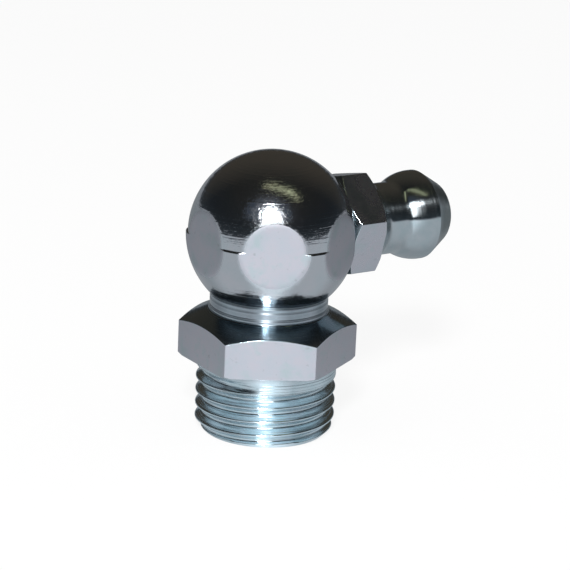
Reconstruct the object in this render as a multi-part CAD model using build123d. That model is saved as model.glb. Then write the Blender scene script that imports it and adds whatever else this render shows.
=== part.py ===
"""Right-angle grease nipple: a body turned from hexagon bar, with a screwed-in coupler head.

The origin lies on the thread's axis, in the underside of the body's hexagon, which is the
face that seats on the machine.  +Z runs up the thread's axis to the ball, and +X runs out
along the coupler head.  All sizes are in millimetres.
"""
from build123d import *
from math import cos, radians, sin, sqrt, tan
import os

# ---------------------------------------------------------------- connecting thread, M10 x 1
thread_radius = 5.0              # over the crests
thread_length = 5.35             # from the seating face to the lower end
thread_end_chamfer = 0.6
thread_end_chamfer_angle = 45.0  # from the thread's axis

# ---------------------------------------------------------------- hexagon bar and its flange
bar_across_flats = 11.0
flange_corner_height = 2.5       # height of a corner edge above the seating face
flange_bevel_angle = 26.0        # of both bevels, from the horizontal
flange_lower_bevel_depth = 0.3    # of the underside's bevel, inward from the corners

# ---------------------------------------------------------------- neck and ball
neck_radius = 4.2
neck_length = 1.21               # from the flange's cone to the ball, before the fillets
neck_root_fillet = 0.2
neck_ball_fillet = 0.5
ball_lower_radius = 6.04         # the form tool's cut below the equator
ball_step = 0.14                 # less radius above the equator, from the second cut

# ---------------------------------------------------------------- drillings in the body
grease_bore_radius = 1.5
grease_bore_chamfer = 0.3
drill_point_angle = 118.0
spot_face_least_depth = 0.3      # of the coupler head's seat, below the bar's flat
spot_face_margin = 0.48          # round the coupler head's seat
head_hole_chamfer = 0.2
head_hole_overrun = 0.2          # of its full width past the grease bore

# ---------------------------------------------------------------- coupler head, outside
head_thread_radius = 3.0         # M6, over the crests
head_thread_chamfer = 0.4
head_across_flats = 7.0
head_hexagon_length = 2.7
head_hexagon_turn = 14.0         # its corners' turn about the head's axis, off the horizontal
head_bevel_angle = 30.0          # of both bevels, from the hexagon's end faces
head_seat_width = 0.18           # of the ring that bears on the spot face
head_front_bevel_radius = 3.6
shoulder_radius = 3.4            # the cone that runs from the hexagon down to the neck
shoulder_length = 1.05
shoulder_fillet = 0.8
head_neck_radius = 2.6
head_neck_fillet = 0.8
coupler_radius = 3.25            # the 6.5 mm ball that a grease gun's coupler grips
coupler_overhang = 7.45          # from the seat to the coupler ball's centre
nose_length = 2.14               # from the coupler ball's centre to the tip
nose_angle = 32.0                # of the nose cone's side, from the head's axis
nose_face_radius = 2.08          # before its edge is rounded
nose_fillet = 0.75

# ---------------------------------------------------------------- check valve inside the head
check_ball_radius = 1.25
check_ball_clearance = 0.03      # from the cone that it seats on
inlet_radius = 0.8
inlet_length = 0.3
inlet_chamfer = 0.1
valve_seat_angle = 45.0          # from the head's axis
valve_bore_clearance = 0.25      # radial, round the check ball, for the grease to pass
retaining_lip_length = 0.4       # the rim crimped in behind the spring
retaining_lip_width = 0.6        # inward from the valve bore
wire_radius = 0.15
spring_bore_clearance = 0.12     # radial, round the spring
spring_turns = 6
spring_end_clearance = 0.02

# ---------------------------------------------------------------- fits
blank_allowance = 0.3            # of the round blanks, beyond the hexagons cut from them
head_thread_clearance = 0.02     # radial, between the head's thread and its hole
grease_passage = 0.1             # between the grease bore and the head's inner end

# ---------------------------------------------------------------- worked out from the above
flats_to_corner = 1 / 2 / cos(radians(30))  # a hexagon's corner radius over its width
bar_corner_radius = bar_across_flats * flats_to_corner
head_corner_radius = head_across_flats * flats_to_corner
blank_radius = bar_corner_radius + blank_allowance
head_blank_radius = head_corner_radius + blank_allowance
flange_slope = tan(radians(flange_bevel_angle))
head_slope = tan(radians(head_bevel_angle))

neck_foot = flange_corner_height + (bar_corner_radius - neck_radius) * flange_slope
neck_top = neck_foot + neck_length
ball_height = neck_top + sqrt(ball_lower_radius**2 - neck_radius**2)
ball_upper_radius = ball_lower_radius - ball_step

head_hole_radius = head_thread_radius + head_thread_clearance
head_hole_end_x = -grease_bore_radius - head_hole_overrun
head_hole_point = head_hole_radius / tan(radians(drill_point_angle / 2))
head_mouth_radius = head_hole_radius + head_hole_chamfer
head_rear_bevel_radius = head_mouth_radius + head_seat_width
spot_face_radius = head_rear_bevel_radius + spot_face_margin

seat_x = min(
    sqrt(ball_lower_radius**2 - spot_face_radius**2),
    bar_across_flats / 2 - spot_face_least_depth,
)
head_inner_x = grease_bore_radius + grease_passage
hexagon_front_x = seat_x + head_hexagon_length
coupler_x = seat_x + coupler_overhang
tip_x = coupler_x + nose_length

# the check ball rests on the valve seat's cone, which opens inward from the inlet
valve_bore_radius = check_ball_radius + valve_bore_clearance
retaining_lip_radius = valve_bore_radius - retaining_lip_width
valve_seat_x = tip_x - inlet_length
seat_sine = sin(radians(valve_seat_angle))
seat_slope = tan(radians(valve_seat_angle))
seat_apex_x = valve_seat_x + inlet_radius / seat_slope
check_ball_x = seat_apex_x - (check_ball_radius + check_ball_clearance) / seat_sine
valve_bore_front_x = valve_seat_x - (valve_bore_radius - inlet_radius) / seat_slope

# the spring's last turn lies round the back of the check ball
spring_mean_radius = valve_bore_radius - spring_bore_clearance - wire_radius
ball_to_turn = sqrt((check_ball_radius + wire_radius) ** 2 - spring_mean_radius**2)
spring_front_x = check_ball_x - ball_to_turn - spring_end_clearance
lip_face_x = head_inner_x + retaining_lip_length
spring_rear_x = lip_face_x + wire_radius + spring_end_clearance


def on_head_axis(shape):
    """Lift a shape made about the X axis to the coupler head's axis."""
    return Pos(0, 0, ball_height) * shape


def turned_blank():
    """The body as it leaves the lathe, still round where the bar's hexagon will show."""
    end_radius = thread_radius - thread_end_chamfer * tan(radians(thread_end_chamfer_angle))
    lower_bevel_radius = bar_corner_radius - flange_lower_bevel_depth
    lower_bevel_height = (blank_radius - lower_bevel_radius) * flange_slope
    upper_bevel_height = flange_corner_height - (blank_radius - bar_corner_radius) * flange_slope
    upper_start = sqrt(ball_upper_radius**2 - ball_step**2)
    middle = cos(radians(45))

    with BuildPart() as blank:
        with BuildSketch(Plane.XZ) as profile:
            with BuildLine():
                Polyline(
                    (0, ball_height + ball_upper_radius),
                    (0, -thread_length),
                    (end_radius, -thread_length),
                    (thread_radius, -thread_length + thread_end_chamfer),
                    (thread_radius, 0),
                    (lower_bevel_radius, 0),
                    (blank_radius, lower_bevel_height),
                    (blank_radius, upper_bevel_height),
                    (neck_radius, neck_foot),
                    (neck_radius, neck_top),
                )
                RadiusArc(
                    (neck_radius, neck_top),
                    (ball_lower_radius, ball_height),
                    -ball_lower_radius,
                )
                Line((ball_lower_radius, ball_height), (upper_start, ball_height + ball_step))
                ThreePointArc(
                    (upper_start, ball_height + ball_step),
                    (ball_upper_radius * middle, ball_height + ball_upper_radius * middle),
                    (0, ball_height + ball_upper_radius),
                )
            make_face()
            fillet(corner_at(profile, neck_radius, neck_foot), neck_root_fillet)
            fillet(corner_at(profile, neck_radius, neck_top), neck_ball_fillet)
        revolve(axis=Axis.Z)
    return blank.part


def corner_at(profile, x, y):
    """The profile's corner nearest to a point of its own plane."""
    return profile.vertices().sort_by_distance((x, y, 0))[0]


def body_drillings():
    """The grease bore, and the spot-faced hole across the ball that the head screws into."""
    bottom = -thread_length
    grease_bore = Pos(0, 0, bottom) * Cylinder(
        grease_bore_radius,
        ball_height - bottom,
        align=(Align.CENTER, Align.CENTER, Align.MIN),
    )
    bore_mouth = Pos(0, 0, bottom) * Cone(
        grease_bore_radius + grease_bore_chamfer,
        grease_bore_radius,
        grease_bore_chamfer,
        align=(Align.CENTER, Align.CENTER, Align.MIN),
    )
    cutter_reach = blank_radius
    with BuildPart() as cross_hole:
        with BuildSketch(Plane.XY):
            with BuildLine():
                Polyline(
                    (head_hole_end_x - head_hole_point, 0),
                    (head_hole_end_x, head_hole_radius),
                    (seat_x - head_hole_chamfer, head_hole_radius),
                    (seat_x, head_mouth_radius),
                    (seat_x, spot_face_radius + head_hole_chamfer),
                    (cutter_reach, spot_face_radius + head_hole_chamfer),
                    (cutter_reach, 0),
                    close=True,
                )
            make_face()
        revolve(axis=Axis.X)
    return grease_bore + bore_mouth + on_head_axis(cross_hole.part)


def angle_body():
    """One piece of hexagon bar: shank, flange, neck and ball, with the bar's flats left on."""
    bar_top = ball_height + ball_upper_radius
    bar = Pos(0, 0, -thread_length) * extrude(
        RegularPolygon(bar_across_flats / 2, 6, major_radius=False, rotation=30),
        bar_top + thread_length,
    )
    return (turned_blank() & bar) - body_drillings()


def head_outside():
    """The coupler head's turned form without its hexagon, about the X axis."""
    shoulder_end = hexagon_front_x + shoulder_length
    ball_start = coupler_x - sqrt(coupler_radius**2 - head_neck_radius**2)
    nose_start = tip_x - (coupler_radius - nose_face_radius) / tan(radians(nose_angle))
    with BuildPart() as turned:
        with BuildSketch(Plane.XY) as profile:
            with BuildLine():
                Polyline(
                    (head_inner_x, 0),
                    (head_inner_x, head_thread_radius - head_thread_chamfer),
                    (head_inner_x + head_thread_chamfer, head_thread_radius),
                    (seat_x, head_thread_radius),
                    (hexagon_front_x, head_thread_radius),
                    (hexagon_front_x, shoulder_radius),
                    (shoulder_end, head_neck_radius),
                    (ball_start, head_neck_radius),
                )
                RadiusArc(
                    (ball_start, head_neck_radius),
                    (coupler_x, coupler_radius),
                    coupler_radius,
                )
                Polyline(
                    (coupler_x, coupler_radius),
                    (nose_start, coupler_radius),
                    (tip_x, nose_face_radius),
                    (tip_x, 0),
                    (head_inner_x, 0),
                )
            make_face()
            fillet(corner_at(profile, shoulder_end, head_neck_radius), shoulder_fillet)
            fillet(corner_at(profile, ball_start, head_neck_radius), head_neck_fillet)
            fillet(corner_at(profile, tip_x, nose_face_radius), nose_fillet)
        revolve(axis=Axis.X)
    return turned.part


def head_hexagon():
    """The head's spanner hexagon, bevelled at both ends, about the X axis."""
    rear_bevel = (head_blank_radius - head_rear_bevel_radius) * head_slope
    front_bevel = (head_blank_radius - head_front_bevel_radius) * head_slope
    with BuildPart() as hexagon:
        with BuildSketch(Plane.XY):
            with BuildLine():
                Polyline(
                    (seat_x, 0),
                    (seat_x, head_rear_bevel_radius),
                    (seat_x + rear_bevel, head_blank_radius),
                    (hexagon_front_x - front_bevel, head_blank_radius),
                    (hexagon_front_x, head_front_bevel_radius),
                    (hexagon_front_x, 0),
                    close=True,
                )
            make_face()
        revolve(axis=Axis.X)
        with BuildSketch(Plane.YZ.offset(seat_x)):
            RegularPolygon(
                head_across_flats / 2,
                6,
                major_radius=False,
                rotation=-head_hexagon_turn,
            )
        extrude(amount=head_hexagon_length, mode=Mode.INTERSECT)
    return hexagon.part


def head_passage():
    """The way through the head: inlet, valve seat, spring bore and the crimped lip's hole."""
    lip_bevel = (valve_bore_radius - retaining_lip_radius) / 2
    with BuildPart() as passage:
        with BuildSketch(Plane.XY):
            with BuildLine():
                Polyline(
                    (head_inner_x, 0),
                    (head_inner_x, retaining_lip_radius + lip_bevel),
                    (head_inner_x + lip_bevel, retaining_lip_radius),
                    (lip_face_x, retaining_lip_radius),
                    (lip_face_x, valve_bore_radius),
                    (valve_bore_front_x, valve_bore_radius),
                    (valve_seat_x, inlet_radius),
                    (tip_x - inlet_chamfer, inlet_radius),
                    (tip_x, inlet_radius + inlet_chamfer),
                    (tip_x, 0),
                    close=True,
                )
            make_face()
        revolve(axis=Axis.X)
    return passage.part


def nipple_head():
    """The screwed-in head, one turned piece with its spanner hexagon."""
    return on_head_axis(head_outside() + head_hexagon() - head_passage())


def check_ball():
    """The steel ball that closes the inlet."""
    return on_head_axis(Pos(check_ball_x, 0, 0) * Sphere(check_ball_radius))


def check_spring():
    """The open-ended compression spring between the crimped lip and the check ball."""
    spring_length = spring_front_x - spring_rear_x
    coil = Helix(
        pitch=spring_length / spring_turns,
        height=spring_length,
        radius=spring_mean_radius,
        center=(spring_rear_x, 0, 0),
        direction=(1, 0, 0),
    )
    wire_section = Plane(coil @ 0, z_dir=coil % 0) * Circle(wire_radius)
    return on_head_axis(sweep(wire_section, path=coil, is_frenet=True))


pieces = {
    "angle_body": angle_body(),
    "nipple_head": nipple_head(),
    "check_ball": check_ball(),
    "check_spring": check_spring(),
}

os.makedirs("parts", exist_ok=True)
for name, shape in pieces.items():
    export_step(shape, f"parts/{name}.step")
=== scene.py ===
"""Looks of a right-angle grease nipple of bright zinc-plated steel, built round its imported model.

The shapes are worked out in millimetres about the model's own axes and turned into metres
when a mesh is made.  The body's axis is Z, and the coupler head's axis is X, at ball height.
"""
from math import acos, asin, atan2, ceil, copysign, cos, degrees, hypot, pi, radians, sin, sqrt, tan

import bpy
import numpy as np
from mathutils import Matrix, Vector, kdtree
from mathutils.geometry import delaunay_2d_cdt


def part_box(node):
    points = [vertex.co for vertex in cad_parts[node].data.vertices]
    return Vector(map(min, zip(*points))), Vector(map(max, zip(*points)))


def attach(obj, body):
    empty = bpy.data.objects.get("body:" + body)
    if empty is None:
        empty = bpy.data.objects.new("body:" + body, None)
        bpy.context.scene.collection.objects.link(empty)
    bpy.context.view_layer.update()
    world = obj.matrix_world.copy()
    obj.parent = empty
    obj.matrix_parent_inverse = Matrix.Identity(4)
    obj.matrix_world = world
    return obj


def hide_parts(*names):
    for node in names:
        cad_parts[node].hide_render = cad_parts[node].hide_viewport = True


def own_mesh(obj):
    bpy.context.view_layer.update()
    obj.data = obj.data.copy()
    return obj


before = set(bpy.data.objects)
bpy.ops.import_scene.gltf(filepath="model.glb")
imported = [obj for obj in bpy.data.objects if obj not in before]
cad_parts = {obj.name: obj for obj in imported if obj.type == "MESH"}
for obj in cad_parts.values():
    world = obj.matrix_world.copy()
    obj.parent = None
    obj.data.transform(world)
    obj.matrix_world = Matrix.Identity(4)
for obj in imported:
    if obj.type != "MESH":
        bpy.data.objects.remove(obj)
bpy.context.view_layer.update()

MM = 0.001

# ---------- sizes read from the frame
body_low, body_high = (np.array(corner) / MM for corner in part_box("angle_body"))
head_low, head_high = (np.array(corner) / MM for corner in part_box("nipple_head"))
valve_low, valve_high = (np.array(corner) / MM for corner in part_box("check_ball"))
spring_low, spring_high = (np.array(corner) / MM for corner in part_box("check_spring"))

bar_apothem = body_high[0]
shank_end = body_low[2]
head_inner_x = head_low[0]
tip_x = head_high[0]

# ---------- sizes of the body, in mm
edge_radius = 0.06               # of a deburred edge
corner_radius = 0.09             # of a hexagon's corners
crease_radius = 0.08             # of the edges round the ball's flats
thread_radius = 5.0
thread_pitch = 1.0
thread_depth = 0.5413
thread_slope = sqrt(3)           # of its 60 degree flanks
thread_end_chamfer = 0.6
thread_root_fillet = 0.1
flange_corner_height = 2.5
flange_bevel_angle = radians(26)  # of both bevels, from the horizontal
flange_lower_bevel_depth = 0.3
neck_radius = 4.2
neck_root_fillet = 0.2
neck_ball_fillet = 0.5
ball_lower_radius = 6.04
ball_upper_radius = 5.9
grease_bore_radius = 1.5
grease_bore_chamfer = 0.3
drill_point_slope = tan(radians(118 / 2))

# ---------- sizes of the head, in mm
head_hole_radius = 3.02
head_hole_chamfer = 0.2
head_hole_overrun = 0.2
mouth_margin = 0.08              # from the hole's chamfer to the ring where the ball's skin ends
head_thread_radius = 3.0
head_thread_chamfer = 0.4
head_apothem = 3.5
head_hexagon_length = 2.7
head_corner_turn = radians(-14)
head_bevel_angle = radians(30)   # of both bevels, from the hexagon's end faces
head_rear_bevel_radius = 3.4
head_front_bevel_radius = 3.6
shoulder_radius = 3.4
shoulder_length = 1.05
shoulder_fillet = 0.8
head_neck_radius = 2.6
head_neck_fillet = 0.8
coupler_radius = 3.25
coupler_overhang = 7.45
nose_length = 2.14
nose_slope = tan(radians(32))
nose_face_radius = 2.08
nose_fillet = 0.75
inlet_radius = 0.8
inlet_length = 0.3
inlet_chamfer = 0.1
valve_bore_radius = 1.5
outline_join_radius = 1.4        # on the lip's face, where the head's two outlines meet
retaining_lip_length = 0.4
retaining_lip_radius = 0.9
retaining_lip_bevel = 0.3
wire_radius = 0.15
spring_turns = 8                 # one closed turn at each end among them
spring_steps_a_turn = 40
wire_sides = 14

ball_height = body_high[2] - ball_upper_radius
ball_step = ball_lower_radius - ball_upper_radius
bar_corner_reach = bar_apothem / cos(pi / 6)
neck_foot = flange_corner_height + (bar_corner_reach - neck_radius) * tan(flange_bevel_angle)
coupler_x = tip_x - nose_length
seat_x = coupler_x - coupler_overhang
hexagon_front_x = seat_x + head_hexagon_length
nose_start_x = tip_x - (coupler_radius - nose_face_radius) / nose_slope
valve_seat_x = tip_x - inlet_length
valve_bore_front_x = valve_seat_x - (valve_bore_radius - inlet_radius)
lip_face_x = head_inner_x + retaining_lip_length

# Directions across, upright and along each turned form's axis, and a point of that axis.
BODY_AXIS = (np.eye(3), np.zeros(3))
HEAD_AXIS = (np.array(((0, 1, 0), (0, 0, 1), (1, 0, 0))), np.array((0, 0, ball_height)))

ARC_STEP = radians(12)           # of a rounded edge
FINE_STEP = radians(3)           # of a ball's outline
BODY_COLUMNS = 360
HEAD_COLUMNS = 240
VALVE_BALL_COLUMNS = 96
WELD = 1e-5                      # points nearer than this, in mm, become one
NUDGE = 1e-4                     # a small move, to find a surface's slope
HALVINGS = 45                    # of the span in which a line meets a surface
TURNED, FLAT, MILLED, POLISHED = range(4)  # the finishes, in the order of a piece's materials


# ---------- outlines
# A row is (axial, radial, outward's axial part, outward's radial part).  A path runs with
# the metal on its right, so outward is to its left.
def left_of(direction):
    return np.array((-direction[1], direction[0]))


def swung(direction, angle):
    """A direction of the outline's plane, turned anticlockwise."""
    c, s = cos(angle), sin(angle)
    return np.array((c * direction[0] - s * direction[1], s * direction[0] + c * direction[1]))


def rounded(*corners):
    """Rows along a polyline whose inner corners, (axial, radial, radius), are rounded off."""
    points = [np.array(corner[:2], float) for corner in corners]
    runs = [(b - a) / np.linalg.norm(b - a) for a, b in zip(points, points[1:])]
    rows = [np.concatenate((points[0], left_of(runs[0])))]
    for point, corner, before, after in zip(points[1:], corners[1:], runs, runs[1:]):
        radius = corner[2]
        turn = atan2(before[0] * after[1] - before[1] * after[0], before @ after)
        side = copysign(1, turn)
        start = point - before * radius * tan(abs(turn) / 2)
        centre = start + side * radius * left_of(before)
        steps = max(2, ceil(abs(turn) / ARC_STEP))
        for step in range(steps + 1):
            outward = left_of(swung(before, turn * step / steps))
            rows.append(np.concatenate((centre - side * radius * outward, outward)))
    rows.append(np.concatenate((points[-1], left_of(runs[-1]))))
    return rows


def arc(centre, radius, first, last, step=ARC_STEP / 2):
    """Rows round an arc, by outward's angle; a hollow arc has a negative radius."""
    steps = ceil(abs(last - first) / step)
    rows = []
    for angle in np.linspace(first, last, steps + 1):
        outward = np.array((cos(angle), sin(angle)))
        rows.append(np.concatenate((np.array(centre) + radius * outward, outward)))
    return rows


# ---------- surfaces
def unit(vectors):
    return vectors / np.linalg.norm(vectors, axis=-1, keepdims=True)


def placed(axis, radial, turns, axial):
    """Points, in the object's frame, from cylindrical coordinates about an axis."""
    directions, origin = axis
    local = (radial * np.cos(turns), radial * np.sin(turns), axial)
    return np.stack(np.broadcast_arrays(*local), axis=-1) @ directions + origin


def turned_about(axis, rows, turns):
    """Points and outward directions of an outline turned about an axis."""
    axial, radial, out_axial, out_radial = np.array(rows).T[:, :, None]
    points = placed(axis, radial, turns, axial)
    return points, placed((axis[0], 0), out_radial, turns, out_axial)


class Skin:
    """The surface of one piece, in mm: points, their outward directions, and triangles."""

    def __init__(self):
        self.points, self.normals, self.triangles, self.finishes = [], [], [], []
        self.count = 0

    def add(self, points, normals, triangles, finish=0):
        """Add a patch, turned to face outward; its triangles count from its own first point."""
        points, normals = points.reshape(-1, 3), normals.reshape(-1, 3)
        a, b, c = (points[corner] for corner in triangles.T)
        facing = np.cross(b - a, c - a) * normals[triangles[:, 0]]
        if facing.sum() < 0:
            triangles = triangles[:, ::-1]
        self.points.append(points)
        self.normals.append(normals)
        self.triangles.append(triangles + self.count)
        self.finishes.append(np.broadcast_to(finish, len(triangles)))
        self.count += len(self.points[-1])

    def add_rows(self, points, normals, finish=0, skew=0, closed=True):
        """Add a patch of rows by columns.  At the seam a row meets the one skew rows on."""
        rows, columns = points.shape[:2]
        index = np.arange(rows * columns).reshape(rows, columns)
        a, b, c, d = index[:-1, :-1], index[:-1, 1:], index[1:, 1:], index[1:, :-1]
        quads = [np.stack((a, b, c, d), axis=-1).reshape(-1, 4)]
        if closed:
            last, first = index[: rows - skew, -1], index[skew:, 0]
            quads.append(np.stack((last[:-1], first[:-1], first[1:], last[1:]), axis=-1))
        quads = np.concatenate(quads)
        self.add(points, normals, np.concatenate((quads[:, :3], quads[:, (0, 2, 3)])), finish)

    def turn(self, axis, rows, turns, finish=0):
        self.add_rows(*turned_about(axis, rows, turns), finish)

    def welded(self):
        """The whole surface, its patches joined where their points meet."""
        points = np.concatenate(self.points)
        _, kept, joined = np.unique(
            np.round(points / WELD).astype(np.int64),
            axis=0,
            return_index=True,
            return_inverse=True,
        )
        points, normals = points[kept], unit(np.concatenate(self.normals)[kept])
        triangles = joined.reshape(-1)[np.concatenate(self.triangles)]
        finishes = np.concatenate(self.finishes)
        a, b, c = triangles.T
        whole = (a != b) & (b != c) & (c != a)
        return points, normals, triangles[whole], finishes[whole]


def piece(name, skin, materials, body, node):
    """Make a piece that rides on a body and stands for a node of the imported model."""
    points, normals, triangles, finishes = skin.welded()
    mesh = bpy.data.meshes.new(name)
    mesh.from_pydata((points * MM).tolist(), [], triangles.tolist())
    for material in materials:
        mesh.materials.append(material)
    mesh.polygons.foreach_set("material_index", finishes.astype(np.int32))
    mesh.shade_smooth()
    mesh.normals_split_custom_set_from_vertices(normals.tolist())
    made = bpy.data.objects.new(name, mesh)
    bpy.context.scene.collection.objects.link(made)
    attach(made, body)
    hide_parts(node)
    return made


def triangulated(flat, chains):
    """Delaunay triangles over points of a plane, which keep the edges of each chain.

    Gives the points, with any that crossing chains add, the number that each had before
    or -1, and the triangles.
    """
    edges = [edge for chain in chains for edge in zip(chain, chain[1:])]
    points, _, faces, before, _, _ = delaunay_2d_cdt(
        [Vector(point) for point in flat], edges, [], 0, 1e-7, True
    )
    origins = np.array([found[0] if found else -1 for found in before])
    points = np.array([tuple(point) for point in points])
    known = origins >= 0
    points[known] = flat[origins[known]]
    return points, origins, np.array(faces)


# ---------- hexagons
def even_columns(count):
    """Column angles spread evenly round an axis."""
    return np.radians(np.arange(count) * 360 / count)


def hexagon_columns(count, corner_turn, spacing):
    """Evenly spread column angles, and seven more, so many degrees apart, at each corner."""
    spread = np.arange(count) * 360 / count
    corners = degrees(corner_turn) + 60 * np.arange(6)
    beside = corners[:, None] + spacing * np.arange(-3, 4)
    every = np.unique(np.round(np.concatenate((spread, beside.ravel() % 360)), 6))
    return np.radians(every)


def hexagon_reach(turns, apothem, rounding, corner_turn):
    """A hexagon's radius at each angle, and the angle that its outline faces there."""
    offset = (turns - corner_turn + pi / 6) % (pi / 3) - pi / 6
    corner = turns - offset
    centre = (apothem - rounding) / cos(pi / 6)
    along_flat = apothem * np.tan(pi / 6 - np.abs(offset))
    on_corner = along_flat > (apothem - rounding) * tan(pi / 6)
    under_root = np.maximum(rounding**2 - (centre * np.sin(offset)) ** 2, 0)
    corner_reach = centre * np.cos(offset) + np.sqrt(under_root)
    reach = np.where(on_corner, corner_reach, apothem / np.cos(pi / 6 - np.abs(offset)))
    rounded_facing = np.arctan2(reach * np.sin(offset), reach * np.cos(offset) - centre)
    facing = np.where(on_corner, rounded_facing, np.sign(offset) * pi / 6)
    return reach, corner + facing


def add_prism(skin, axis, turns, hexagon, bevel_angle, low, high, top_edge):
    """Add a hexagon's sides and bevels, and give its first and last rings.

    The hexagon is (apothem, corner_turn), and low and high are where its bevels start,
    (axial, radius).
    """
    apothem, corner_turn = hexagon
    outer, facing = hexagon_reach(turns, apothem, corner_radius, corner_turn)
    inner, _ = hexagon_reach(
        turns, apothem - edge_radius, corner_radius - edge_radius, corner_turn
    )
    slope, lean = tan(bevel_angle), edge_radius / cos(bevel_angle)
    setback = edge_radius * tan(bevel_angle / 2)
    low_face, high_face = low[0] + edge_radius, high[0] - edge_radius
    low_rim = np.minimum(inner, low[1] - setback)
    high_rim = np.minimum(inner, high[1] - setback)
    low_bend = np.maximum(low[0] + (inner - low[1]) * slope + lean, low_face)
    high_bend = np.minimum(high[0] - (inner - high[1]) * slope - lean, high_face)

    quarter, tilt = pi / 2, pi / 2 - bevel_angle
    rim_steps, side_steps = 3, 5
    bends = [
        (low_rim, low_face, -quarter, -tilt, rim_steps),
        (inner, low_bend, -tilt, 0, side_steps),
        (inner, high_bend, 0, tilt, side_steps),
    ]
    if top_edge:
        bends.append((high_rim, high_face, tilt, quarter, rim_steps))
    points, normals = [], []
    for rim, height, first, last, steps in bends:
        for angle in np.linspace(first, last, steps + 1):
            square_on = max(0, 1 - abs(angle) / tilt)
            across = edge_radius + (outer - inner - edge_radius) * square_on
            radial, axial = rim + across * cos(angle), height + edge_radius * sin(angle)
            outward = turns + (facing - turns) * square_on
            points.append(placed(axis, radial, turns, axial))
            normals.append(placed((axis[0], 0), cos(angle), outward, sin(angle)))
    points, normals = np.array(points), np.array(normals)
    below = rim_steps + 1 + side_steps + 1
    skin.add_rows(points[:below], normals[:below])
    skin.add_rows(points[below - 1 : below + 1], normals[below - 1 : below + 1], FLAT)
    skin.add_rows(points[below:], normals[below:])
    return (points[0], normals[0]), (points[-1], normals[-1])


def bridge(skin, near, far, finish=0):
    """Join two rings of points, each with its outward directions."""
    skin.add_rows(np.array((near[0], far[0])), np.array((near[1], far[1])), finish)


def ring(axis, row, turns):
    """One row of an outline as a ring of points and outward directions."""
    points, normals = turned_about(axis, [row], turns)
    return points[0], normals[0]


# ---------- the body's threaded shank
first_crest = -0.947             # a crest's height at the column angle 0
last_groove_end = -0.41          # where the die stopped, in turns up the helix
groove_runout = 0.18             # in turns, half of it on either side of that place
groove_runout_curve = 1.5        # the power by which the groove's depth dies away
thread_top = -0.35
thread_bottom = shank_end + 0.05
crest_half_width = thread_pitch / 16
crest_softness = 0.05
root_softness = 0.1
chamfer_softness = 0.02
# One pitch of rows, from a crest up to the next.
thread_rows = (0, 0.03, 0.0625, 0.095, 0.15, 0.21, 0.27, 0.33, 0.375, 0.42, 0.46)
thread_rows += (0.5, 0.54, 0.58, 0.625, 0.67, 0.73, 0.79, 0.85, 0.905, 0.9375, 0.97)


def positive(value, softness):
    """A value where it is above 0 and 0 elsewhere, with a soft bend between them."""
    return (value + np.sqrt(value**2 + softness**2)) / 2


def shank_radius(turns, heights):
    """The radius of the right-hand thread, which ends above in a run-out."""
    up = turns / (2 * pi)
    rise = (heights - first_crest) / thread_pitch - up
    from_crest = np.abs(rise - np.round(rise)) * thread_pitch
    cut = positive((from_crest - crest_half_width) * thread_slope, crest_softness)
    cut = thread_depth - positive(thread_depth - cut, root_softness)
    left_over = (last_groove_end - np.floor(rise) - up) / groove_runout
    radius = thread_radius - cut * np.clip(left_over + 0.5, 0, 1) ** groove_runout_curve
    chamfer = thread_radius - thread_end_chamfer + heights - shank_end
    return radius - positive(radius - chamfer, chamfer_softness)


def add_thread(skin, turns):
    """Add the thread on rows that climb with it, cut off level at its two ends."""
    rows_a_turn = len(thread_rows)
    lowest = int(np.floor((thread_bottom - first_crest) / thread_pitch)) - 1
    highest = int(np.ceil((thread_top - first_crest) / thread_pitch)) + 1
    rises = np.array([whole + part for whole in range(lowest, highest) for part in thread_rows])
    heights = first_crest + (rises[:, None] + turns / (2 * pi)) * thread_pitch
    heights = np.clip(heights, thread_bottom, thread_top)
    turns = np.broadcast_to(turns, heights.shape)
    radius = shank_radius(turns, heights)
    by_turn = shank_radius(turns + NUDGE, heights) - shank_radius(turns - NUDGE, heights)
    by_height = shank_radius(turns, heights + NUDGE) - shank_radius(turns, heights - NUDGE)
    sideways = -by_turn / (2 * NUDGE) / radius
    normals = placed((BODY_AXIS[0], 0), 1, turns, -by_height / (2 * NUDGE))
    normals += sideways[..., None] * placed((BODY_AXIS[0], 0), 1, turns + pi / 2, 0)
    points = placed(BODY_AXIS, radius, turns, heights)
    skin.add_rows(points, unit(normals), TURNED, skew=rows_a_turn)
    return (points[0], normals[0]), (points[-1], normals[-1])


# ---------- the body's ball
ball_centre = np.array((0, 0, ball_height))
ball_flats = [(radians(60 * side), bar_apothem) for side in range(1, 6)] + [(0.0, seat_x)]
step_rise = 0.05                 # of the step round the ball, over its width
ball_search = (4.0, 6.3)         # the ball's surface lies between these radii
flat_search = (0, 6.0)           # a flat's edge lies between these distances from its middle
flat_columns = 240               # round a flat's edge
step_columns = 330               # round the step
lattice_count = 9000             # of the points spread over the whole ball
lattice_gap = 0.025              # least space, in radians, between those points and a ring
rim_gap = 0.03                   # the same at the head's hole and the neck
step_gap = 0.02                  # between the head's hole and the ends of the step's rings
neck_angle = acos((neck_radius + neck_ball_fillet) / (ball_lower_radius + neck_ball_fillet))


def ball_depths(points):
    """How deep points lie under the ball's two round skins and under each of its flats."""
    x, y, z = points.T
    whole = np.linalg.norm(points, axis=1)
    slope = ball_step / step_rise
    step = (ball_lower_radius - np.hypot(x, y) - slope * z) / hypot(slope, 1)
    depths = [ball_lower_radius - whole, np.maximum(ball_upper_radius - whole, step)]
    depths += [reach - x * cos(angle) - y * sin(angle) for angle, reach in ball_flats]
    return np.array(depths)


def ball_depth(points):
    """How deep points lie under the ball's surface, whose creases are rounded off."""
    short = np.maximum(crease_radius - ball_depths(points), 0)
    return crease_radius - np.sqrt((short**2).sum(axis=0))


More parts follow.
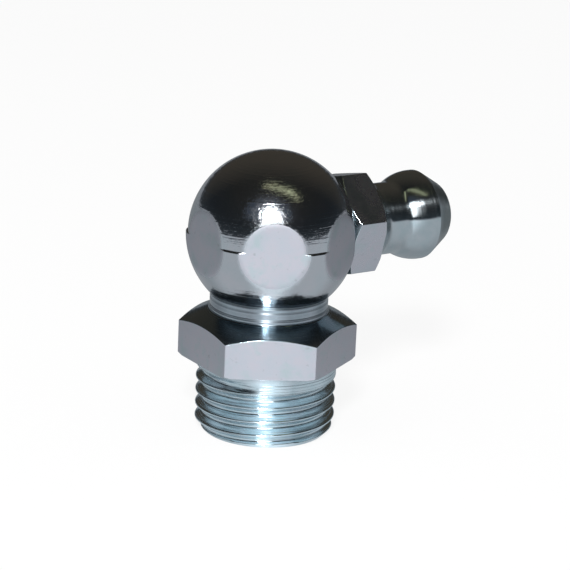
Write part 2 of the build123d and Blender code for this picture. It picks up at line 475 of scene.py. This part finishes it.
def surface_along(depth, start, directions, search):
    """How far each line runs before its depth comes to 0, within the search's two ends."""
    near, far = (np.full(len(directions), float(end)) for end in search)
    for _ in range(HALVINGS):
        middle = (near + far) / 2
        inside = depth(start + middle[:, None] * directions) > 0
        near, far = np.where(inside, middle, near), np.where(inside, far, middle)
    return (near + far) / 2


def flat_outlines(flat):
    """Closed rings just inside, on and just outside the edge of one of the ball's flats."""
    angle, reach = ball_flats[flat]
    kink = asin(step_rise / sqrt(ball_upper_radius**2 - reach**2))
    half = flat_columns // 2
    turns = np.unique(np.concatenate((np.arange(-half, half) * pi / half, (kink, pi - kink))))
    across = np.stack((-sin(angle) * np.cos(turns), cos(angle) * np.cos(turns), np.sin(turns)))
    middle = reach * np.array((cos(angle), sin(angle), 0))

    def others(points):
        return np.delete(ball_depths(points), flat + 2, axis=0).min(axis=0)

    width = surface_along(others, middle, across.T, flat_search)
    return [middle + share * width[:, None] * across.T for share in (0.99, 1, 1.01)]


def step_circles(opening):
    """Rings beside and on the step round the ball, left open where the head's seat is.

    Each is at a share of the step's rise.
    """
    turns = np.linspace(opening, 2 * pi - opening, step_columns)
    for share in (-1.6, -0.9, -0.4, 0, 0.25, 0.6, 1, 1.4):
        width = ball_step * min(max(share, 0), 1)
        yield placed(BODY_AXIS, ball_lower_radius - width, turns, share * step_rise)


def add_ball(skin, turns, mouth_turns):
    """Add the ball from the neck's fillet to the ring round the coupler head's hole."""
    mouth_radius = head_hole_radius + head_hole_chamfer + mouth_margin
    mouth = placed((HEAD_AXIS[0], 0), mouth_radius, mouth_turns, seat_x)
    neck_ring = placed(
        BODY_AXIS, ball_lower_radius * cos(neck_angle), turns, -ball_lower_radius * sin(neck_angle)
    )
    mouth_angle = atan2(mouth_radius, seat_x)
    rings = [unit(neck_ring), unit(mouth)]
    closed = [True, True]
    for flat in range(len(ball_flats)):
        rings += [unit(outline) for outline in flat_outlines(flat)]
        closed += [True] * 3
    for circle in step_circles(mouth_angle + step_gap):
        rings.append(unit(circle))
        closed.append(False)

    # a spiral spreads the lattice evenly, and what is too near a ring is left out
    order = np.arange(lattice_count) + 0.5
    heights, golden = 1 - 2 * order / lattice_count, pi * (1 + sqrt(5)) * order
    level = np.sqrt(1 - heights**2)
    lattice = np.stack((heights, level * np.cos(golden), level * np.sin(golden)), axis=1)
    lattice = lattice[lattice[:, 0] < cos(mouth_angle + rim_gap)]
    lattice = lattice[lattice[:, 2] > -sin(neck_angle - rim_gap)]
    ringed = np.concatenate(rings)
    nearby = kdtree.KDTree(len(ringed))
    for index, direction in enumerate(ringed):
        nearby.insert(direction, index)
    nearby.balance()
    lattice = lattice[[nearby.find(direction)[2] > lattice_gap for direction in lattice]]

    # seen from the hole's middle, the directions are laid out on a plane for their triangles
    chains, start = [], 0
    for points, is_closed in zip(rings, closed):
        chain = list(range(start, start + len(points)))
        chains.append(chain + chain[:1] if is_closed else chain)
        start += len(points)
    directions = np.concatenate((ringed, lattice))
    flat = directions[:, 1:] / (1 - directions[:, :1])
    flat, origins, triangles = triangulated(flat, chains)
    in_neck = (origins >= 0) & (origins < len(turns))
    triangles = triangles[~in_neck[triangles].all(axis=1)]

    squared = (flat**2).sum(axis=1, keepdims=True)
    found = np.concatenate((squared - 1, 2 * flat), axis=1) / (squared + 1)
    known = origins >= 0
    found[known] = directions[origins[known]]
    distance = surface_along(ball_depth, 0, found, ball_search)
    points = distance[:, None] * found
    nudges = NUDGE * np.eye(3)
    slopes = [ball_depth(points + nudge) - ball_depth(points - nudge) for nudge in nudges]
    normals = -unit(np.stack(slopes, axis=1))
    nearest = ball_depths(points[triangles].mean(axis=1)).argmin(axis=0)
    # the two skins, the bar's flats and the head's seat, as ball_depths has them
    finishes = np.array([POLISHED] * 2 + [FLAT] * 5 + [MILLED])[nearest]
    skin.add(points + ball_centre, normals, triangles, finishes)


# ---------- the body
def add_head_hole(skin, turns, mouth_turns):
    """Add the hole that the coupler head screws into, with the grease bore's opening."""
    end_x = -grease_bore_radius - head_hole_overrun
    wall_x = seat_x - head_hole_chamfer - edge_radius
    point_x = end_x - head_hole_radius / drill_point_slope
    mouth_radius = head_hole_radius + head_hole_chamfer
    mouth_rows = rounded(
        (seat_x, mouth_radius + mouth_margin),
        (seat_x, mouth_radius, edge_radius / 2),
        (seat_x - head_hole_chamfer, head_hole_radius, edge_radius / 2),
        (wall_x, head_hole_radius),
    )
    skin.turn(HEAD_AXIS, mouth_rows, mouth_turns, MILLED)
    point_rows = rounded((end_x, head_hole_radius), (point_x, 0))
    point_rows[0][2:] = (0, -1)  # there it is shaded like the wall that it meets
    skin.turn(HEAD_AXIS, point_rows, mouth_turns, MILLED)

    # the wall is cut along its top line and laid out flat, with the opening in its middle
    opening_x, sideways = grease_bore_radius * np.cos(turns), grease_bore_radius * np.sin(turns)
    opening = np.stack((opening_x, np.arcsin(sideways / head_hole_radius)), axis=1)
    round_wall = np.append(mouth_turns, 2 * pi) - pi
    ends = [np.stack((np.full(len(round_wall), x), round_wall), axis=1) for x in (end_x, wall_x)]
    grid_rows, grid_columns, clearance = 24, 73, 1.12
    grid_x = np.linspace(end_x, wall_x, grid_rows)[1:-1]
    grid = np.meshgrid(grid_x, np.linspace(-pi, pi, grid_columns), indexing="ij")
    inside = np.stack(grid, axis=-1).reshape(-1, 2)
    from_middle = np.hypot(inside[:, 0], inside[:, 1] * head_hole_radius)
    clear = from_middle > clearance * grease_bore_radius
    spread = np.concatenate((opening, *ends, inside[clear]))
    chain = list(range(len(turns)))
    flat, origins, triangles = triangulated(spread, [chain + chain[:1]])
    in_opening = (origins >= 0) & (origins < len(turns))
    triangles = triangles[~in_opening[triangles].all(axis=1)]
    wall_turns = flat[:, 1] - pi / 2
    points = placed(HEAD_AXIS, head_hole_radius, wall_turns, flat[:, 0])
    skin.add(points, -placed((HEAD_AXIS[0], 0), 1, wall_turns, 0), triangles, MILLED)
    drop = np.sqrt(head_hole_radius**2 - sideways**2)
    return placed(BODY_AXIS, grease_bore_radius, turns, ball_height - drop)


def angle_body():
    """Shank, flange, neck and ball, from one piece of hexagon bar."""
    body_corner_turn = pi / 6
    turns = hexagon_columns(BODY_COLUMNS, body_corner_turn, 0.14)
    mouth_turns = even_columns(HEAD_COLUMNS)
    skin = Skin()
    opening = add_head_hole(skin, turns, mouth_turns)
    # the last corner only shows which way the thread's end chamfer runs
    end_face_radius = thread_radius - thread_end_chamfer
    bore_rows = rounded(
        (shank_end + 1, grease_bore_radius),
        (shank_end + grease_bore_chamfer, grease_bore_radius, edge_radius),
        (shank_end, grease_bore_radius + grease_bore_chamfer, edge_radius),
        (shank_end, end_face_radius, edge_radius),
        (shank_end + 0.1, end_face_radius + 0.1),
    )[:-1]
    skin.turn(BODY_AXIS, bore_rows, turns)
    bore_top = ring(BODY_AXIS, bore_rows[0], turns)
    bridge(skin, (opening, bore_top[1]), bore_top)

    thread_start, thread_end = add_thread(skin, turns)
    bridge(skin, ring(BODY_AXIS, bore_rows[-1], turns), thread_start)
    underside_rows = rounded(
        (thread_top, thread_radius),
        (0, thread_radius, thread_root_fillet),
        (0, thread_radius + 2 * thread_root_fillet),
    )
    skin.turn(BODY_AXIS, underside_rows[1:], turns)
    bridge(skin, thread_end, ring(BODY_AXIS, underside_rows[1], turns))
    lower_bevel_radius = bar_corner_reach - flange_lower_bevel_depth
    flange_start, flange_end = add_prism(
        skin,
        BODY_AXIS,
        turns,
        (bar_apothem, body_corner_turn),
        flange_bevel_angle,
        (0, lower_bevel_radius),
        (neck_foot, neck_radius),
        False,
    )
    bridge(skin, ring(BODY_AXIS, underside_rows[-1], turns), flange_start)
    fillet_axial = ball_height - sin(neck_angle) * (ball_lower_radius + neck_ball_fillet)
    neck_rows = rounded(
        (neck_foot - tan(flange_bevel_angle), neck_radius + 1),
        (neck_foot, neck_radius, neck_root_fillet),
        (neck_foot + neck_root_fillet, neck_radius),
    )[:-1]
    neck_rows += arc(
        (fillet_axial, neck_radius + neck_ball_fillet),
        -neck_ball_fillet,
        pi / 2,
        pi / 2 + neck_angle,
    )
    skin.turn(BODY_AXIS, neck_rows, turns)
    bridge(skin, flange_end, ring(BODY_AXIS, neck_rows[0], turns))
    add_ball(skin, turns, mouth_turns)
    return skin


# ---------- the coupler head
def nipple_head():
    """The screwed-in head: threaded end, hexagon, neck, coupler ball, and its bore."""
    turns = hexagon_columns(HEAD_COLUMNS, head_corner_turn, 0.2)
    skin = Skin()
    lip_rim = retaining_lip_radius + retaining_lip_bevel
    rear_rows = rounded(
        (lip_face_x, outline_join_radius),
        (lip_face_x, retaining_lip_radius, edge_radius / 2),
        (head_inner_x + retaining_lip_bevel, retaining_lip_radius, edge_radius / 2),
        (head_inner_x, lip_rim, edge_radius),
        (head_inner_x, head_thread_radius - head_thread_chamfer, edge_radius),
        (head_inner_x + head_thread_chamfer, head_thread_radius, edge_radius),
        (seat_x, head_thread_radius, edge_radius),
        (seat_x, head_thread_radius + 2 * edge_radius),
    )
    skin.turn(HEAD_AXIS, rear_rows, turns)
    hexagon_start, hexagon_end = add_prism(
        skin,
        HEAD_AXIS,
        turns,
        (head_apothem, head_corner_turn),
        head_bevel_angle,
        (seat_x, head_rear_bevel_radius),
        (hexagon_front_x, head_front_bevel_radius),
        True,
    )
    bridge(skin, ring(HEAD_AXIS, rear_rows[-1], turns), hexagon_start)

    fillet_reach = coupler_radius + head_neck_fillet
    neck_end_angle = asin((head_neck_radius + head_neck_fillet) / fillet_reach)
    fillet_x = coupler_x - cos(neck_end_angle) * fillet_reach
    front_rows = rounded(
        (hexagon_front_x, shoulder_radius + edge_radius),
        (hexagon_front_x, shoulder_radius, edge_radius / 2),
        (hexagon_front_x + shoulder_length, head_neck_radius, shoulder_fillet),
        (fillet_x, head_neck_radius),
    )[:-1]
    fillet_centre = (fillet_x, head_neck_radius + head_neck_fillet)
    front_rows += arc(fillet_centre, -head_neck_fillet, pi / 2, pi - neck_end_angle)
    front_rows += arc((coupler_x, 0), coupler_radius, pi - neck_end_angle, pi / 2, FINE_STEP)[1:]
    front_rows += rounded(
        (coupler_x, coupler_radius),
        (nose_start_x, coupler_radius, edge_radius),
        (tip_x, nose_face_radius, nose_fillet),
        (tip_x, inlet_radius + inlet_chamfer, edge_radius / 2),
        (tip_x - inlet_chamfer, inlet_radius, edge_radius / 2),
        (valve_seat_x, inlet_radius, edge_radius / 2),
        (valve_bore_front_x, valve_bore_radius, edge_radius / 2),
        (lip_face_x, valve_bore_radius, edge_radius / 2),
        (lip_face_x, outline_join_radius),
    )[1:]
    skin.turn(HEAD_AXIS, front_rows, turns)
    bridge(skin, hexagon_end, ring(HEAD_AXIS, front_rows[0], turns))
    return skin


# ---------- the check valve
def check_ball():
    """The ground steel ball, as a fine turned form about the head's axis."""
    radius = (valve_high[0] - valve_low[0]) / 2
    centre_x = (valve_high[0] + valve_low[0]) / 2
    skin = Skin()
    rows = arc((centre_x, 0), radius, 0, pi, FINE_STEP)
    rows[0][1] = rows[-1][1] = 0
    skin.turn(HEAD_AXIS, rows, even_columns(VALVE_BALL_COLUMNS))
    return skin


def check_spring():
    """The compression spring, with its last turn closed at each end."""
    mean_radius = spring_high[1] - wire_radius
    rear_x, front_x = spring_low[0] + wire_radius, spring_high[0] - wire_radius
    share = np.linspace(0, 1, spring_steps_a_turn * spring_turns + 1)
    wound = share * spring_turns
    # the pitch is the wire's own thickness over the first and last turn, and even between
    closed = np.clip(wound, 0, 1) + np.clip(wound - spring_turns + 1, 0, 1)
    opened = np.clip(wound - 1, 0, spring_turns - 2) / (spring_turns - 2)
    wire_width = 2 * wire_radius
    along = rear_x + closed * wire_width + opened * (front_x - rear_x - 2 * wire_width)
    turns = 2 * pi * wound
    centres = placed(HEAD_AXIS, mean_radius, turns, along)
    tangents = unit(np.gradient(centres, axis=0))
    out = placed((HEAD_AXIS[0], 0), 1, turns, 0)
    side = np.cross(tangents, out)
    round_wire = 2 * pi * np.arange(wire_sides) / wire_sides
    normals = np.cos(round_wire)[:, None, None] * out + np.sin(round_wire)[:, None, None] * side
    points = centres + wire_radius * normals
    skin = Skin()
    skin.add_rows(points.transpose(1, 0, 2), normals.transpose(1, 0, 2))
    for end, facing in ((0, -tangents[0]), (-1, tangents[-1])):
        rim = points[:, end]
        middle = np.broadcast_to(centres[end], rim.shape)
        faced = np.broadcast_to(facing, rim.shape)
        skin.add_rows(np.array((rim, middle)), np.array((faced, faced)))
    return skin


# ---------- node trees
class Graph:
    """A node tree built by calls that take numbers, colours or other nodes' sockets."""

    def __init__(self, tree):
        self.nodes, self.links = tree.nodes, tree.links
        self.nodes.clear()

    def node(self, kind, inputs=(), **settings):
        made = self.nodes.new(kind)
        for setting, value in settings.items():
            setattr(made, setting, value)
        for socket, value in dict(inputs).items():
            if isinstance(value, bpy.types.NodeSocket):
                self.links.new(value, made.inputs[socket])
            else:
                made.inputs[socket].default_value = value
        return made

    def math(self, operation, *values):
        return self.node("ShaderNodeMath", enumerate(values), operation=operation).outputs[0]

    def vector(self, operation, *values):
        made = self.node("ShaderNodeVectorMath", enumerate(values), operation=operation)
        return made.outputs["Value" if operation in ("DOT_PRODUCT", "LENGTH") else "Vector"]

    def ramp(self, value, *stops):
        """A colour, or a grey, that goes evenly from each stop's to the next one's."""
        made = self.node("ShaderNodeValToRGB", {0: value})
        elements = made.color_ramp.elements
        while len(elements) < len(stops):
            elements.new(1)
        for element, (position, colour) in zip(elements, stops):
            element.position = position
            element.color = (*(colour if isinstance(colour, tuple) else (colour,) * 3), 1)
        return made.outputs[0]

    def ramp_between(self, value, stops):
        """The same, with stops placed by the value itself and not from 0 to 1."""
        low, high = stops[0][0], stops[-1][0]
        shares = [((place - low) / (high - low), colour) for place, colour in stops]
        return self.ramp(self.spread(value, low, high), *shares)

    def blend(self, share, first, second):
        """A mix of two colours, which the node has as its inputs 6 and 7."""
        inputs = {"Factor": share, 6: first, 7: second}
        return self.node("ShaderNodeMix", inputs, data_type="RGBA").outputs[2]

    def spread(self, value, low, high, new_low=0.0, new_high=1.0):
        """A value mapped from one range to another, evenly, and clamped."""
        inputs = enumerate((value, low, high, new_low, new_high))
        return self.node("ShaderNodeMapRange", inputs).outputs[0]

    def noise(self, place, scale, detail=2.0, roughness=0.5):
        inputs = {"Vector": place, "Scale": scale, "Detail": detail, "Roughness": roughness}
        return self.node("ShaderNodeTexNoise", inputs).outputs[0]


# ---------- materials
clean_ring_roughness = 0.13      # where the lathe tool cut cleanly


class Surface(Graph):
    """A metal's material, worked out over the object's own coordinates in millimetres.

    A noise's scale is then in cells a millimetre.
    """

    def __init__(self, name):
        self.material = bpy.data.materials.new(name)
        self.material.use_nodes = True
        super().__init__(self.material.node_tree)
        place = self.node("ShaderNodeTexCoord").outputs["Object"]
        self.place = self.vector("MULTIPLY", place, (1 / MM, 1 / MM, 1 / MM))

    def rings(self, axis):
        """Coordinates that are the same all the way round a turned form: radius and height."""
        place = self.place
        if axis == "X":
            place = self.vector("SUBTRACT", place, (0, 0, ball_height))
        across = self.vector("MULTIPLY", place, (0, 1, 1) if axis == "X" else (1, 1, 0))
        along = self.node("ShaderNodeSeparateXYZ", {0: place}).outputs[axis]
        radius = self.vector("LENGTH", across)
        return self.node("ShaderNodeCombineXYZ", {0: radius, 1: along}).outputs[0], along

    def finish(self, colour, roughness, height, depth, axis=None, anisotropy=0.0):
        """Close the tree: a metal with a relief of this depth in millimetres."""
        relief = {"Strength": 1.0, "Distance": depth * MM, "Height": height}
        inputs = {
            "Base Color": colour,
            "Metallic": 1,
            "Roughness": roughness,
            "Normal": self.node("ShaderNodeBump", relief).outputs[0],
        }
        if axis:
            tangent = self.node("ShaderNodeTangent", direction_type="RADIAL", axis=axis)
            inputs["Tangent"] = tangent.outputs[0]
            inputs["Anisotropic"] = anisotropy
            inputs["Anisotropic Rotation"] = 0.25
        shader = self.node("ShaderNodeBsdfPrincipled", inputs)
        self.node("ShaderNodeOutputMaterial", {0: shader.outputs[0]})
        return self.material


def even(value):
    """Stops with one value all along."""
    return (0, value), (1, value)


def turned_zinc(name, axis, depth, dull, tint_and_painted_shade=even(1.0)):
    """Bluish zinc plating over the rings that a lathe tool leaves, some of them torn and dull.

    Dull has the torn rings' roughness, and the last argument scales the plating's colour, at places
    along
    the axis in mm: a tint, and painted shade where it darkens.
    """
    surface = Surface(name)
    rings, along = surface.rings(axis)
    broad = surface.noise(rings, 2.5, 2)
    fine = surface.noise(rings, 9, 2)
    height = surface.math("ADD", broad, surface.math("MULTIPLY", fine, 0.4))
    cloud = surface.noise(surface.place, 0.8, 4, 0.6)
    colour = surface.ramp(cloud, (0.35, (0.55, 0.63, 0.68)), (0.65, (0.63, 0.67, 0.72)))
    # a tint along the axis, which is painted shade where it darkens the colour
    colour = surface.vector("MULTIPLY", colour, surface.ramp_between(along, tint_and_painted_shade))
    torn = surface.spread(fine, 0.5, 0.62)
    smooth = surface.math("MULTIPLY", surface.math("SUBTRACT", 1, torn), clean_ring_roughness)
    dull_here = surface.math("MULTIPLY", torn, surface.ramp_between(along, dull))
    rough = surface.math("ADD", smooth, dull_here)
    return surface.finish(colour, rough, height, depth, axis, anisotropy=1.0)


def polished_zinc(name, depth, tint_and_painted_shade):
    """Plating over the burnished ball, with hair-fine scratches round it and a fine grain."""
    surface = Surface(name)
    rings, along = surface.rings("Z")
    # a little of the place itself keeps a scratch from going all the way round
    drift = surface.vector("MULTIPLY", surface.place, (0.03, 0.03, 0.03))
    scratches = surface.noise(surface.vector("ADD", rings, drift), 4.5, 2, 0.6)
    scratches = surface.spread(scratches, 0.52, 0.66)
    grain = surface.noise(surface.place, 5, 2, 0.6)
    specks = surface.spread(grain, 0.5, 0.68, 0, 0.9)
    height = surface.math("ADD", scratches, specks)
    cloud = surface.noise(surface.place, 0.6, 3, 0.6)
    colour = surface.ramp(cloud, (0.35, (0.60, 0.65, 0.69)), (0.65, (0.65, 0.66, 0.70)))
    # painted shade: the colour darkens along the axis toward the ball's underside
    colour = surface.vector("MULTIPLY", colour, surface.ramp_between(along, tint_and_painted_shade))
    rough = surface.spread(grain, 0.3, 0.7, 0.1, 0.16)
    return surface.finish(colour, rough, height, depth)


def drawn_zinc(name, roughness):
    """Plating over the dull drawn faces of hexagon bar, with faint stains."""
    surface = Surface(name)
    grain = surface.noise(surface.place, 14, 3, 0.6)
    cloud = surface.noise(surface.place, 0.45, 4, 0.65)
    colour = surface.ramp(
        cloud,
        (0.32, (0.57, 0.65, 0.68)),
        (0.45, (0.64, 0.66, 0.72)),
        (0.58, (0.67, 0.66, 0.72)),
        (0.70, (0.59, 0.66, 0.70)),
    )
    stain = surface.noise(surface.place, 2.4, 3, 0.6)
    stain = surface.spread(stain, 0.64, 0.74)
    colour = surface.blend(stain, colour, (0.53, 0.55, 0.59, 1))
    rough = surface.spread(cloud, 0.3, 0.7, 0.9 * roughness, 1.1 * roughness)
    return surface.finish(colour, rough, grain, 0.003)


def ground_steel(name):
    """The check ball's bare hardened steel."""
    surface = Surface(name)
    grain = surface.noise(surface.place, 20, 2)
    colour = surface.ramp(grain, (0.3, (0.70, 0.70, 0.71)), (0.7, (0.74, 0.74, 0.75)))
    rough = surface.spread(grain, 0.3, 0.7, 0.06, 0.1)
    return surface.finish(colour, rough, grain, 0.0003)


def drawn_wire(name):
    """The spring's drawn wire, faintly streaked."""
    surface = Surface(name)
    grain = surface.noise(surface.place, 16, 3)
    colour = surface.ramp(grain, (0.3, (0.52, 0.51, 0.49)), (0.7, (0.62, 0.61, 0.59)))
    rough = surface.spread(grain, 0.3, 0.7, 0.25, 0.38)
    return surface.finish(colour, rough, grain, 0.002)


# the thread is dull and pale; the flange's cone is smooth and darkened by painted shade, and the
# neck is dull and darkened by painted shade under the ball
body_dull = ((0, 0.42), (2.3, 0.24), (3.45, 0.24), (3.65, 0.55), (5, 0.55))
# a tint along the axis: paler on the thread, and painted shade on the flange's cone and the neck
body_tint_and_painted_shade = (
    (-0.5, (1.28, 1.38, 1.38)),
    (0.0, (1.0, 1.0, 1.0)),
    (2.3, (1.0, 1.0, 1.0)),
    (2.8, (0.6, 0.68, 0.7)),
    (3.5, (0.5, 0.6, 0.64)),
    (3.7, (0.74, 0.77, 0.79)),
    (5.1, (0.74, 0.77, 0.79)),
)
# painted shade: the ball's colour darkens toward its underside, by the neck
ball_painted_shade = ((5.0, (0.7, 0.72, 0.74)), (5.9, (1.0, 1.0, 1.0)))
# painted shade: the head's colour darkens from the coupler ball's front onto its nose
head_painted_shade = ((12.3, (0.98, 1.0, 0.98)), (12.9, (0.72, 0.74, 0.7)))

# each list is in the order of TURNED, FLAT, MILLED and POLISHED
body_materials = [
    turned_zinc("body_turned", "Z", 0.005, body_dull, body_tint_and_painted_shade),
    drawn_zinc("body_drawn", 0.47),
    turned_zinc("body_milled", "X", 0.006, even(0.4)),
    polished_zinc("body_ball", 0.0036, ball_painted_shade),
]
head_materials = [
    turned_zinc("head_turned", "X", 0.002, even(0.19), head_painted_shade),
    drawn_zinc("head_drawn", 0.27),
]
ball_materials = [ground_steel("ball_ground")]
spring_materials = [drawn_wire("spring_drawn")]

piece("fitting_body", angle_body(), body_materials, "fitting", "angle_body")
piece("coupler_head", nipple_head(), head_materials, "fitting", "nipple_head")
piece("valve_ball", check_ball(), ball_materials, "valve_ball", "check_ball")
spring = piece(
    "valve_spring", check_spring(), spring_materials, "fitting", "check_spring"
)
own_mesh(spring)

# ---------- camera
def toward(azimuth, elevation):
    a, e = radians(azimuth), radians(elevation)
    return Vector((sin(a) * cos(e), -cos(a) * cos(e), sin(e)))


camera_azimuth, camera_elevation = -33.374, 16.8315
roll = radians(2.5246)
camera_distance = 172.09
focal_length = 154.47
aim_height = 8.0                 # on the body's axis
aim_right, aim_up = 0.976, -2.62  # from there, in the picture's own directions

back = toward(camera_azimuth, camera_elevation)
level_right = toward(camera_azimuth + 90, 0)
level_up = back.cross(level_right)
right = cos(roll) * level_right + sin(roll) * level_up
up = -sin(roll) * level_right + cos(roll) * level_up
aim = Vector((0, 0, aim_height)) + aim_right * right + aim_up * up

camera_data = bpy.data.cameras.new("camera")
camera_data.sensor_width = 36
camera_data.lens = focal_length
camera_data.clip_start, camera_data.clip_end = 0.001, 100
camera = bpy.data.objects.new("camera", camera_data)
camera.matrix_world = Matrix.Translation((aim + camera_distance * back) * MM) @ Matrix(
    (right, up, back)
).transposed().to_4x4()
bpy.context.scene.collection.objects.link(camera)
bpy.context.scene.camera = camera

# ---------- floor, world and lamps
lit_azimuth = -29                # where the floor is brightest in the metal
floor_half_width = 2.0           # in metres, like the floor's other distances
plain_white_share = 0.88         # of the floor at the camera; the rest takes the shadow


def reflected_floor(graph, place):
    """The floor's glow in the metal, a painted pool of light: brightest in front, and dim behind in
    painted shade.
    """
    front = toward(lit_azimuth, 0)
    ahead = graph.vector("DOT_PRODUCT", place, front)
    aside = graph.vector("DOT_PRODUCT", place, Vector((-front.y, front.x, 0)))
    swing = graph.math("ABSOLUTE", graph.math("ARCTAN2", aside, ahead))
    swing = graph.math("DIVIDE", swing, pi)
    strength = graph.ramp(
        swing, (0, 1.0), (0.06, 0.95), (0.12, 0.7), (0.2, 0.5), (0.45, 0.5), (0.62, 0.36)
    )
    # painted shade: it dims away from the nipple, on the right most
    distance = graph.vector("LENGTH", place)
    behind = graph.spread(swing, 0.45, 0.6)
    shade = graph.math("MULTIPLY", behind, graph.spread(distance, 0.025, 0.05))
    shade = graph.math("MULTIPLY", shade, graph.spread(aside, 0, 0.04, 0.28, 0.42))
    # painted shade: a second reflection sees little of it beyond the foot
    depth = graph.node("ShaderNodeLightPath").outputs["Glossy Depth"]
    second = graph.math("GREATER_THAN", depth, 1.5)
    painted_far_shade = graph.math("MULTIPLY", second, graph.spread(distance, 0.03, 0.045, 0, 0.65))
    lit = graph.math("SUBTRACT", 1, graph.math("MAXIMUM", shade, painted_far_shade))
    return graph.math("MULTIPLY", strength, lit)


def pale_floor():
    """White paper that shows as white, keeps a faint shadow, and in the metal shows as grey, a
    painted pool of light in front with painted shade behind.
    """
    corners = [
        (x * floor_half_width, y * floor_half_width, shank_end * MM)
        for x, y in ((-1, -1), (1, -1), (1, 1), (-1, 1))
    ]
    mesh = bpy.data.meshes.new("floor")
    mesh.from_pydata(corners, [], [(0, 1, 2, 3)])
    floor = bpy.data.objects.new("floor", mesh)
    bpy.context.scene.collection.objects.link(floor)
    made = bpy.data.materials.new("pale_paper")
    made.use_nodes = True
    mesh.materials.append(made)
    graph = Graph(made.node_tree)

    place = graph.node("ShaderNodeTexCoord").outputs["Object"]
    strength = reflected_floor(graph, place)
    tinted = graph.node("ShaderNodeEmission", {"Color": (0.94, 1.0, 1.05, 1), "Strength": strength})
    white = graph.node("ShaderNodeEmission", {"Strength": 1.0})
    paper = graph.node("ShaderNodeBsdfDiffuse", {"Color": (0.9, 0.9, 0.9, 1)})

    path = graph.node("ShaderNodeLightPath").outputs
    glossy = path["Is Glossy Ray"]
    glow = graph.node("ShaderNodeMixShader", {0: glossy, 1: white.outputs[0], 2: tinted.outputs[0]})
    seen = graph.math("MAXIMUM", path["Is Camera Ray"], path["Is Transmission Ray"])
    share = graph.math("MAXIMUM", graph.math("MULTIPLY", seen, plain_white_share), glossy)
    mixed = graph.node("ShaderNodeMixShader", {0: share, 1: paper.outputs[0], 2: glow.outputs[0]})
    graph.node("ShaderNodeOutputMaterial", {0: mixed.outputs[0]})


def studio_world():
    """A dim room above a lighter horizon.  At the camera it is white, like the floor."""
    world = bpy.data.worlds.new("studio")
    bpy.context.scene.world = world
    world.use_nodes = True
    graph = Graph(world.node_tree)
    direction = graph.node("ShaderNodeTexCoord").outputs["Generated"]
    height = graph.node("ShaderNodeSeparateXYZ", {0: direction}).outputs["Z"]
    height = graph.spread(height, -0.1, 1.0)
    horizon = 0.1 / 1.1  # its place in that span
    room = graph.ramp(
        height,
        (0, (0.50, 0.50, 0.53)),
        (horizon, (0.42, 0.43, 0.46)),
        (horizon + 0.055, (0.03, 0.037, 0.043)),
        (horizon + 0.3, (0.015, 0.018, 0.021)),
        (horizon + 0.7, (0.018, 0.018, 0.017)),
        (1, (0.02, 0.02, 0.018)),
    )
    # a warm wall behind, which shows in the ball's top
    wall = graph.vector("DOT_PRODUCT", direction, toward(145, 30))
    wall = graph.spread(wall, 0.5, 0.95)
    wall = graph.math("MULTIPLY", wall, graph.spread(height, horizon + 0.05, horizon + 0.2))
    room = graph.blend(wall, room, (0.055, 0.047, 0.037, 1))
    path = graph.node("ShaderNodeLightPath").outputs["Is Camera Ray"]
    colour = graph.blend(path, room, (1, 1, 1, 1))
    background = graph.node("ShaderNodeBackground", {0: colour})
    graph.node("ShaderNodeOutputWorld", {0: background.outputs[0]})


def lamp(
    name, azimuth, elevation, width, height, radiance, colour=(1, 1, 1), reflected=True, turn=0
):
    """A soft oval lamp that faces the ball.  Its place, size and turn are in degrees."""
    distance = 0.5
    light = bpy.data.lights.new(name, "AREA")
    light.shape = "ELLIPSE"
    light.size, light.size_y = (2 * distance * tan(radians(side / 2)) for side in (width, height))
    light.energy = radiance * pi * light.size * light.size_y * pi / 4  # the oval's area, times pi
    light.color = colour
    made = bpy.data.objects.new(name, light)
    made.location = toward(azimuth, elevation) * distance + Vector((0, 0, ball_height * MM))
    facing = toward(azimuth, elevation).to_track_quat("Z", "Y").to_matrix().to_4x4()
    made.rotation_euler = (facing @ Matrix.Rotation(radians(turn), 4, "Z")).to_euler()
    made.visible_glossy = reflected
    bpy.context.scene.collection.objects.link(made)


pale_floor()
studio_world()
lamp("key_lamp", -38, 37, 10, 10, 120.0)
lamp("key_panel", -32, 28, 27, 42, 2.2)
lamp("ceiling_strip", 8, 74, 7, 46, 0.6, (1.0, 1.0, 0.6), turn=36)
lamp("blue_veil", -40, 44, 62, 36, 0.04, (0.6, 0.85, 1.3))
lamp("left_fill", -110, 55, 70, 70, 0.8, reflected=False)
lamp("right_fill", 70, 55, 70, 70, 0.8, reflected=False)

bpy.context.scene.view_settings.view_transform = "Standard"
